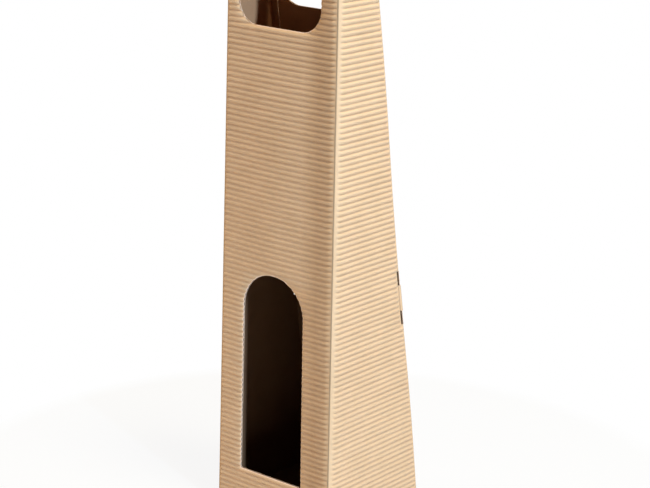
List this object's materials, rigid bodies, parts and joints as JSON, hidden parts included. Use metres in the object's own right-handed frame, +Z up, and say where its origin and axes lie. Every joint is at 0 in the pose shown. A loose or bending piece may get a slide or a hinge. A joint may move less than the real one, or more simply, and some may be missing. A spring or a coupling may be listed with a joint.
{
  "type": "bottle shipping box",
  "caption": "Tall tapered carrier box for one bottle, of open-flute corrugated board, with an arched window, carrying holes and a tuck lid.",
  "frame": {"origin": "middle of the part's bounding box, on the rest face", "axes": "+Z up, -Y out of the front panel with the window, +X across the front to the right"},
  "size_m": [0.0924, 0.0961, 0.36],
  "materials": {
    "kraft_board": "matte natural kraft, open flutes outside"
  },
  "bodies": {
    "carton": {"carton_body": "kraft_board"},
    "lid": {"top_lid": "kraft_board"}
  },
  "joints": [
    {"name": "lid_hinge", "type": "hinge", "parent": "carton", "child": "lid", "pos_m": [0, -0.0123, 0.3587], "axis": [-1, 0, 0], "range_deg": [0, 180]}
  ]
}
